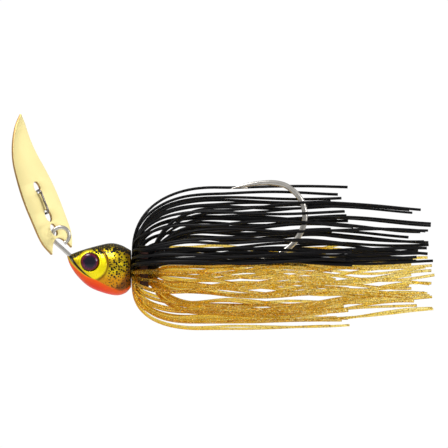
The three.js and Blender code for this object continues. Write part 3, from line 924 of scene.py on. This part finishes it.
def flare_points(is_front, layer_name, layer, crest):
    if is_front:
        x, r = layer["turn_x"] - layer["turn_radius"], layer["radius"] + layer["turn_radius"]
        handles = [
            (x, r),
            (x + FLARE_LEAN[layer_name], lerp(r, crest, 0.56)),
            (x - 1.1 + 0.36 * crest, crest),
            (20 + 0.97 * crest, crest),
        ]
    else:
        delay = REAR_DELAY[layer_name]
        handles = [
            (REAR_EXIT_X, layer["radius"]),
            (REAR_EXIT_X + 1.6 + delay, lerp(layer["radius"], crest, 0.1)),
            (23 + 0.14 * crest + delay, crest),
            (28 + 0.7 * crest, crest),
        ]
    return bezier(handles, np.linspace(0, 1, 32)[1:]), handles[0][1]


def half_strand(half, layer_name, layer, angle, number):
    """One half of a strand from the collar to its free end, as the CAD model lays it."""
    rule = HALVES[half]
    channel = rule["channel"]
    is_front = half == "front"
    leaving = angle + (0 if is_front else 180 / layer["count"])
    trail, slope = spread_at(leaving)
    ease = min(slope, 1)
    trail += DRIFT * ease * ease * scatter(number, 1 + channel)
    outer = skirt_radius(trail)
    crest = outer * (rule["share"][layer_name] + SHARE_SCATTER * scatter(number, 3 + channel))
    full_radius = crest
    if not is_front:
        full_radius = outer * lerp(*rule["full"][layer_name], (scatter(number, 7) + 1) / 2)
    is_up = math.cos(math.radians(trail)) > 0
    end_radius = full_radius * rule["ends"][0 if is_up else 1]
    last_x = rule["end_x"] + rule["end_scatter"] * scatter(number, 5 + channel)

    flare, start_radius = flare_points(is_front, layer_name, layer, crest)
    flare_end, full_x = flare[-1, 0], rule["full_x"]
    trailing_x = lerp(flare_end, last_x, np.linspace(0, 1, 44)[1:])
    trailing_r = crest + (full_radius - crest) * smoothstep(trailing_x, flare_end, full_x)
    trailing_r += (end_radius - full_radius) * smoothstep(trailing_x, full_x - 6, last_x + 4)
    x = np.concatenate([flare[:, 0], trailing_x])
    radius = np.concatenate([flare[:, 1], trailing_r])
    turn = np.ones(len(x))
    turn[: len(flare)] = smoothstep(flare[:, 1], start_radius, lerp(start_radius, crest, 0.8))

    loose = smoothstep(x, 28, 44)
    wave = 2 * np.pi * (x - 28) / SWAY_LENGTH + 3 * math.radians(trail)
    wave += rule["phase"][layer_name]
    sway = SWAY * ease * loose * np.sin(wave)
    theta = np.radians(lerp(angle, trail, turn)) + sway / np.maximum(radius, 5)
    r = radius + LIFT * loose * np.cos(1.3 * wave)
    opened = smoothstep(x, 22, HOOK_GAP_X[0])
    opened = opened * (1 - 0.5 * smoothstep(x, HOOK_GAP_X[1], HOOK_GAP_X[1] + 16))
    parting = PARTING * np.sign(trail) * opened * np.maximum(0, np.cos(theta))
    z = r * np.cos(theta)
    level = SKIRT_AXIS_Z + crest * math.cos(math.radians(trail))
    for slit in SLITS:
        away = (level - slit["level"]) / slit["width"]
        push = slit["push"] * np.sign(away) * math.exp(-away * away)
        z = z + push * smoothstep(x, 24, 34) * (1 - smoothstep(x, 60, 74))
    return np.column_stack([x, r * np.sin(theta) + parting, z])


def strand_route(layer_name, layer, angle, number):
    rear = half_strand("rear", layer_name, layer, angle, number)[::-1]
    front = half_strand("front", layer_name, layer, angle, number)
    s, c = math.sin(math.radians(angle)), math.cos(math.radians(angle))
    middle = [(REAR_EXIT_X, layer["radius"] * s, layer["radius"] * c)]
    for step in np.radians(np.linspace(0, 90, 9)):
        r = layer["radius"] + layer["turn_radius"] * (1 - math.cos(step))
        middle.append((layer["turn_x"] - layer["turn_radius"] * math.sin(step), r * s, r * c))
    return np.vstack([rear, middle, front]) + (0, 0, SKIRT_AXIS_Z)


def make_skirt(black, gold):
    number = 0
    counts = {"black": 0, "gold": 0}
    for layer_name, layer in (("inner", INNER_LAYER), ("outer", OUTER_LAYER)):
        for i in range(layer["count"]):
            number += 1
            angle = -180 + (i + 0.5) / layer["count"] * 360
            colour = "black" if BLACK_BETWEEN[0] < angle < BLACK_BETWEEN[1] else "gold"
            counts[colour] += 1
            label = f"{colour}_{counts[colour]:02d}"
            route = strand_route(layer_name, layer, angle, number)
            side = (0, math.cos(math.radians(angle)), -math.sin(math.radians(angle)))
            strand = sweep(f"strand_{label}", route, (0.34, 0.3), side, 10, 3.4)
            material = black if colour == "black" else gold
            depth = MAX_DEPTH * (0.5 + 0.5 * scatter(number, 9))
            set_attribute(strand, "depth", np.full(len(strand.data.vertices), depth))
            stand_for(strand, f"skirt_{label}", "jig", material)


def make_collar(material):
    front, back = COLLAR["front"], COLLAR["back"]
    inner, outer = COLLAR["inner"], COLLAR["outer"]
    profile = [(inner, front), (inner, back)]
    bevel = 0.35
    for i in range(7):
        c, d = polar(bevel, 90 - 15 * i)
        profile.append((outer - bevel + c, back - bevel + d))
    for i in range(7):
        c, d = polar(bevel, -15 * i)
        profile.append((outer - bevel + c, front + bevel + d))
    ring = lathe_x("collar_ring", profile, SKIRT_AXIS_Z)
    return stand_for(ring, "skirt_collar", "jig", material)


# ------------------------------------------------------------------ stage


def make_stage():
    """A pale floor that fades out into the bright room, and three soft lamps."""
    paper = Shader("paper", Roughness=0.9)
    grain = paper.noise(60, 3)
    paper.send(paper.mix(grain, (0.84, 0.84, 0.835), (0.87, 0.87, 0.87)), "Base Color")
    away = paper.node("ShaderNodeVectorMath", {"operation": "LENGTH"}, i0=paper.place())
    fade = [distance * MM for distance in FLOOR_FADE]
    paper.send(paper.span(away.outputs["Value"], *fade, 1, 0), "Alpha")
    corners = ((-1, -1), (1, -1), (1, 1), (-1, 1))
    floor = mesh_object(
        "floor",
        [(FLOOR_HALF * x, FLOOR_HALF * y, FLOOR_LEVEL) for x, y in corners],
        [(0, 1, 2, 3)],
    )
    floor.data.materials.append(paper.material)

    # The room lights the jig softly, and looks brighter straight on or through a strand.
    world = bpy.data.worlds.new("studio")
    bpy.context.scene.world = world
    world.use_nodes = True
    nodes, links = world.node_tree.nodes, world.node_tree.links
    background = nodes["Background"]
    background.inputs["Color"].default_value = (1, 1, 1, 1)
    ray = nodes.new("ShaderNodeLightPath")
    seen = nodes.new("ShaderNodeMath")
    seen.operation = "MAXIMUM"
    links.new(ray.outputs["Is Camera Ray"], seen.inputs[0])
    links.new(ray.outputs["Is Transmission Ray"], seen.inputs[1])
    level = nodes.new("ShaderNodeMapRange")
    level.inputs["To Min"].default_value = ROOM_LIGHT
    level.inputs["To Max"].default_value = ROOM_SEEN
    links.new(seen.outputs[0], level.inputs["Value"])
    links.new(level.outputs["Result"], background.inputs["Strength"])

    middle = (cad_low + cad_high) / 2
    for name, offset, size, power in LAMPS:
        lamp = bpy.data.lights.new(name, "AREA")
        lamp.size = size
        lamp.energy = power
        holder = bpy.data.objects.new(name, lamp)
        bpy.context.scene.collection.objects.link(holder)
        holder.location = middle + Vector(offset)
        holder.rotation_euler = (-Vector(offset)).to_track_quat("-Z", "Y").to_euler()

    bpy.context.scene.view_settings.view_transform = "Standard"


def make_camera():
    """A long lens, level with the jig and square to its side."""
    lens = bpy.data.cameras.new("camera")
    holder = bpy.data.objects.new("camera", lens)
    bpy.context.scene.collection.objects.link(holder)
    lens.sensor_width = 36
    lens.lens = lens.sensor_width * CAMERA_DISTANCE / SEEN_WIDTH
    lens.clip_end = 10
    aim_x, aim_z = CAMERA_AIM
    holder.location = Vector((aim_x, -CAMERA_DISTANCE, aim_z)) * MM
    holder.rotation_euler = (math.radians(90), 0, 0)
    bpy.context.scene.camera = holder


# ------------------------------------------------------------------ everything

make_camera()
make_stage()
make_hook(nickel_material("hook_nickel", (0.72, 0.69, 0.64), 0.3))
make_head(head_material())
make_eyes(eye_foil_material(), lens_material())
make_blade(blade_material())
make_snap(nickel_material("snap_nickel", (0.30, 0.27, 0.25), 0.2))
make_collar(rubber_material())
make_skirt(black_silicone(), gold_silicone())
